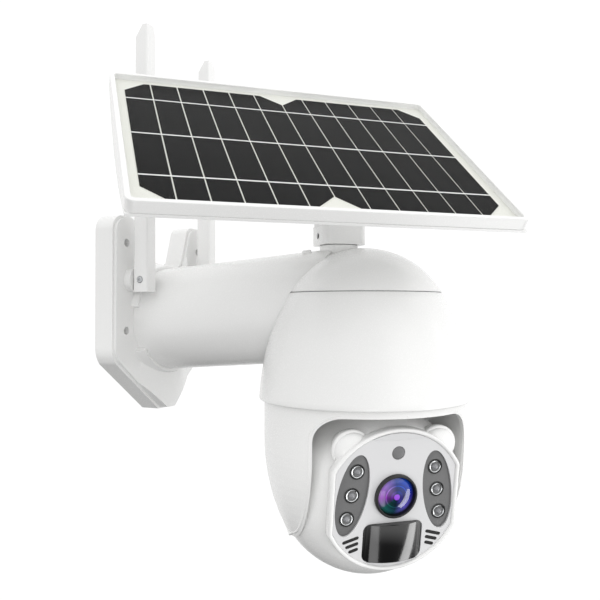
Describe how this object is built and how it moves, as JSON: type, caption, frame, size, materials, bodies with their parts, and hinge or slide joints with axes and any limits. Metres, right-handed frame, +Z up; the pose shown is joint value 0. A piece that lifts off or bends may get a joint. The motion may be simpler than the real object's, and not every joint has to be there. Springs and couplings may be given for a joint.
{
  "type": "solar security camera",
  "caption": "Wall-mounted security camera with a pan and tilt head under a dome, swinging antennas and a tilting solar panel on a post.",
  "frame": {"origin": "centre of the arm on the wall face of the plate", "axes": "+Y into the wall, -Y out along the arm, +Z up"},
  "size_m": [0.2404, 0.2695, 0.3474],
  "materials": {
    "white_shell": "glossy moulded white ABS",
    "pale_plastic": "satin white ABS",
    "face_grey": "satin light grey ABS",
    "service_rubber": "soft grey rubber",
    "black_plastic": "satin black ABS",
    "window_grey": "tinted glossy window",
    "sensor_grey": "frosted grey window",
    "motion_black": "glossy black infrared window",
    "lamp_metal": "metallised reflector",
    "coated_glass": "blue and violet coated glass",
    "clear_glass": "clear tempered glass",
    "silicon": "dark monocrystalline silicon under glass",
    "busbar_metal": "tinned ribbon",
    "backing": "off-white polymer sheet",
    "steel": "zinc plated steel",
    "acetal": "moulded acetal",
    "circuit_board": "solder mask",
    "battery_sleeve": "heat-shrink sleeve"
  },
  "bodies": {
    "mount": {"wall_plate": "white_shell", "arm_tube": "white_shell", "arm_bulkhead": "pale_plastic", "battery_cells": "battery_sleeve", "battery_holder": "black_plastic", "antenna_stub_left": "white_shell", "antenna_stub_right": "white_shell", "swivel_peg": "white_shell", "dome_cap": "white_shell", "cap_seal": "service_rubber", "dome_shell": "white_shell", "chassis_plate": "black_plastic", "main_board": "circuit_board", "pan_motor": "steel", "pan_bearing": "steel"},
    "fork": {"fork_shell": "white_shell", "fork_hub": "pale_plastic", "pan_gear": "acetal", "cheek_plates": "pale_plastic", "tilt_bush": "acetal", "tilt_axle": "steel", "tilt_gear": "acetal"},
    "ball": {"ball_rear": "white_shell", "ball_front": "white_shell", "trunnion": "pale_plastic", "face_bezel": "white_shell", "face_plate": "face_grey", "lens_barrel": "black_plastic", "lens_glass": "coated_glass", "image_board": "circuit_board", "light_sensor": "sensor_grey", "lamp_windows": "window_grey", "lamps": "lamp_metal", "motion_window": "motion_black", "grille_bars": "black_plastic", "speaker": "black_plastic", "tilt_motor": "steel", "service_cover": "service_rubber"},
    "pan_pinion": {"pan_pinion": "acetal"},
    "tilt_pinion": {"tilt_pinion": "acetal"},
    "reset_button": {"reset_button": "black_plastic"},
    "bracket": {"swivel_collar": "white_shell", "set_screw": "steel", "panel_bracket": "pale_plastic", "tilt_pin": "steel", "tilt_knob": "black_plastic"},
    "panel": {"hinge_foot": "pale_plastic", "foot_screws": "steel", "panel_back": "white_shell", "panel_rim": "white_shell", "backing_sheet": "backing", "solar_cells": "silicon", "busbars": "busbar_metal", "panel_glass": "clear_glass", "junction_box": "black_plastic"},
    "antenna_left": {"antenna_left": "white_shell", "antenna_screws_left": "steel"},
    "antenna_right": {"antenna_right": "white_shell", "antenna_screws_right": "steel"}
  },
  "joints": [
    {"name": "head_pan", "type": "hinge", "parent": "mount", "child": "fork", "pos_m": [0, -0.166, 0], "axis": [0, 0, 1], "range_deg": [-129, 225]},
    {"name": "head_tilt", "type": "hinge", "parent": "fork", "child": "ball", "pos_m": [0, -0.166, -0.0975], "axis": [0.6691, -0.7431, 0], "range_deg": [-10, 80]},
    {"name": "pan_pinion_turn", "type": "hinge", "parent": "mount", "child": "pan_pinion", "pos_m": [-0.02584, -0.17541, 0], "axis": [0, 0, 1], "range_deg": [-901, 517]},
    {"name": "tilt_pinion_turn", "type": "hinge", "parent": "ball", "child": "tilt_pinion", "pos_m": [0.01171, -0.15546, -0.09472], "axis": [0.6691, -0.7431, 0], "range_deg": [-31, 241]},
    {"name": "reset_press", "type": "slide", "parent": "ball", "child": "reset_button", "axis": [-0.7319, -0.659, -0.1736], "range_m": [0, 0.001], "stiffness_N_per_m": 300},
    {"name": "panel_swivel", "type": "hinge", "parent": "mount", "child": "bracket", "pos_m": [0, -0.1495, 0], "axis": [0, 0, 1], "range_deg": [0, 100]},
    {"name": "panel_tilt", "type": "hinge", "parent": "bracket", "child": "panel", "pos_m": [-0.05223, -0.14521, 0.0788], "axis": [0.6871, -0.7266, 0], "range_deg": [0, 20]},
    {"name": "antenna_left_swing", "type": "hinge", "parent": "mount", "child": "antenna_left", "pos_m": [-0.0374, -0.027, 0.0275], "axis": [0, -1, 0], "range_deg": [0, 90]},
    {"name": "antenna_right_swing", "type": "hinge", "parent": "mount", "child": "antenna_right", "pos_m": [0.0374, -0.027, 0.0275], "axis": [0, 1, 0], "range_deg": [0, 90]}
  ],
  "couplings": [
    {"joint": "pan_pinion_turn", "follows": "head_pan", "ratio": -4},
    {"joint": "tilt_pinion_turn", "follows": "head_tilt", "ratio": 3}
  ]
}
